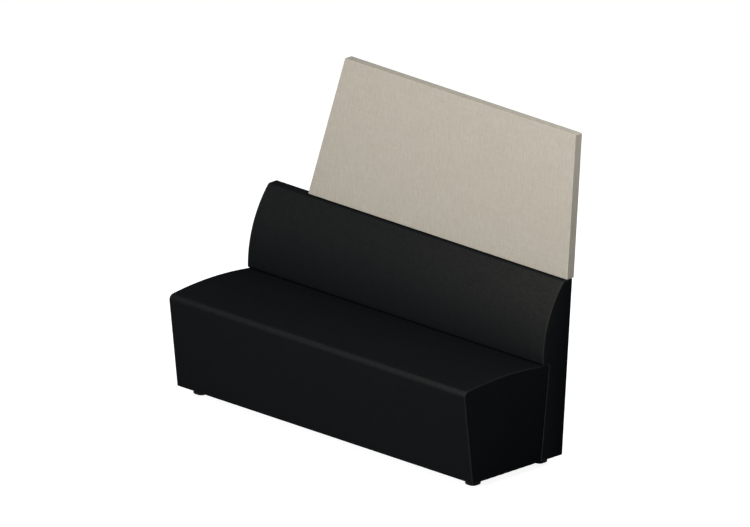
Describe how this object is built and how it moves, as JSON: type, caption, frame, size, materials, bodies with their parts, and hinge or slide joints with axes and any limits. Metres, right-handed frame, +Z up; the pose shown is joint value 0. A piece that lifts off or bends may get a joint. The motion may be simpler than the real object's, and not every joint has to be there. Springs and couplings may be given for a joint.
{
  "type": "modular sofa",
  "caption": "Armless upholstered sofa module with a crowned seat, a bulging padded back, a raked fabric privacy screen standing on the back, and low levelling feet.",
  "frame": {"origin": "on the floor, below the middle of the overall box", "axes": "+X along the sofa towards the end where the screen is flush, -Y to the front where a person sits, +Z up"},
  "size_m": [1.83, 0.7266, 1.5003],
  "materials": {
    "black_fabric": "fine flat woven upholstery, slightly blue black, soft sheen",
    "beige_fabric": "flat linen-like weave, warm grey beige, faint slubs",
    "plywood": "bare birch plywood",
    "foam": "open-cell upholstery foam",
    "dust_cloth": "black non-woven dust cloth",
    "black_plastic": "moulded matt black plastic",
    "nylon": "dark grey nylon glide",
    "zinc_steel": "bright zinc plated steel",
    "black_steel": "black powder coat"
  },
  "bodies": {
    "sofa": {"seat_front_board": "plywood", "seat_rear_board": "plywood", "seat_end_board_left": "plywood", "seat_end_board_right": "plywood", "seat_rib_left": "plywood", "seat_rib_right": "plywood", "seat_deck": "plywood", "seat_bottom_rail_left": "plywood", "seat_bottom_rail_right": "plywood", "seat_foam": "foam", "seat_front_pad": "foam", "seat_cover_wrap": "black_fabric", "seat_cover_end_left": "black_fabric", "seat_cover_end_right": "black_fabric", "seat_dust_cover": "dust_cloth", "back_rear_board": "plywood", "back_lower_board": "plywood", "back_support_board": "plywood", "back_shelf": "plywood", "back_end_board_left": "plywood", "back_end_board_right": "plywood", "back_rib": "plywood", "back_bottom_board": "plywood", "back_top_rail": "plywood", "back_foam": "foam", "back_cover_wrap": "black_fabric", "back_cover_end_left": "black_fabric", "back_cover_end_right": "black_fabric", "back_dust_cover": "dust_cloth", "joining_screw_left": "zinc_steel", "joining_screw_right": "zinc_steel", "screen_core": "plywood", "screen_pad_front": "foam", "screen_pad_rear": "foam", "screen_cover_front": "beige_fabric", "screen_cover_rear": "beige_fabric", "screen_post_left": "zinc_steel", "screen_post_right": "zinc_steel", "screen_socket_left": "zinc_steel", "screen_socket_right": "zinc_steel", "foot_tnut_front_left": "zinc_steel", "foot_tnut_front_right": "zinc_steel", "foot_tnut_rear_left": "zinc_steel", "foot_tnut_rear_right": "zinc_steel", "gang_bolt_left": "zinc_steel", "gang_bolt_right": "zinc_steel"},
    "glide_front_left": {"foot_glide_front_left": "nylon"},
    "glide_front_right": {"foot_glide_front_right": "nylon"},
    "glide_rear_left": {"foot_glide_rear_left": "nylon"},
    "glide_rear_right": {"foot_glide_rear_right": "nylon"},
    "foot_front_left": {"foot_front_left": "black_plastic", "foot_stud_front_left": "zinc_steel"},
    "foot_front_right": {"foot_front_right": "black_plastic", "foot_stud_front_right": "zinc_steel"},
    "foot_rear_left": {"foot_rear_left": "black_plastic", "foot_stud_rear_left": "zinc_steel"},
    "foot_rear_right": {"foot_rear_right": "black_plastic", "foot_stud_rear_right": "zinc_steel"},
    "link_left": {"gang_plate_left": "black_steel"},
    "link_right": {"gang_plate_right": "black_steel"}
  },
  "joints": [
    {"name": "foot_travel_front_left", "type": "slide", "parent": "sofa", "child": "glide_front_left", "axis": [0, 0, 1], "range_m": [-0.01, 0]},
    {"name": "foot_travel_front_right", "type": "slide", "parent": "sofa", "child": "glide_front_right", "axis": [0, 0, 1], "range_m": [-0.01, 0]},
    {"name": "foot_travel_rear_left", "type": "slide", "parent": "sofa", "child": "glide_rear_left", "axis": [0, 0, 1], "range_m": [-0.01, 0]},
    {"name": "foot_travel_rear_right", "type": "slide", "parent": "sofa", "child": "glide_rear_right", "axis": [0, 0, 1], "range_m": [-0.01, 0]},
    {"name": "foot_turn_front_left", "type": "hinge", "parent": "glide_front_left", "child": "foot_front_left", "pos_m": [-0.8405, -0.23867, 0.038], "axis": [0, 0, 1], "range_deg": [-2880, 0]},
    {"name": "foot_turn_front_right", "type": "hinge", "parent": "glide_front_right", "child": "foot_front_right", "pos_m": [0.8405, -0.23867, 0.038], "axis": [0, 0, 1], "range_deg": [-2880, 0]},
    {"name": "foot_turn_rear_left", "type": "hinge", "parent": "glide_rear_left", "child": "foot_rear_left", "pos_m": [-0.8405, 0.17308, 0.038], "axis": [0, 0, 1], "range_deg": [-2880, 0]},
    {"name": "foot_turn_rear_right", "type": "hinge", "parent": "glide_rear_right", "child": "foot_rear_right", "pos_m": [0.8405, 0.17308, 0.038], "axis": [0, 0, 1], "range_deg": [-2880, 0]},
    {"name": "link_swing_left", "type": "hinge", "parent": "sofa", "child": "link_left", "pos_m": [-0.875, -0.11317, 0.038], "axis": [0, 0, 1], "range_deg": [0, 90]},
    {"name": "link_swing_right", "type": "hinge", "parent": "sofa", "child": "link_right", "pos_m": [0.875, -0.11317, 0.038], "axis": [0, 0, -1], "range_deg": [0, 90]}
  ],
  "couplings": [
    {"joint": "foot_travel_front_left", "follows": "foot_turn_front_left", "m_per_rad": 0.00019894},
    {"joint": "foot_travel_front_right", "follows": "foot_turn_front_right", "m_per_rad": 0.00019894},
    {"joint": "foot_travel_rear_left", "follows": "foot_turn_rear_left", "m_per_rad": 0.00019894},
    {"joint": "foot_travel_rear_right", "follows": "foot_turn_rear_right", "m_per_rad": 0.00019894}
  ]
}
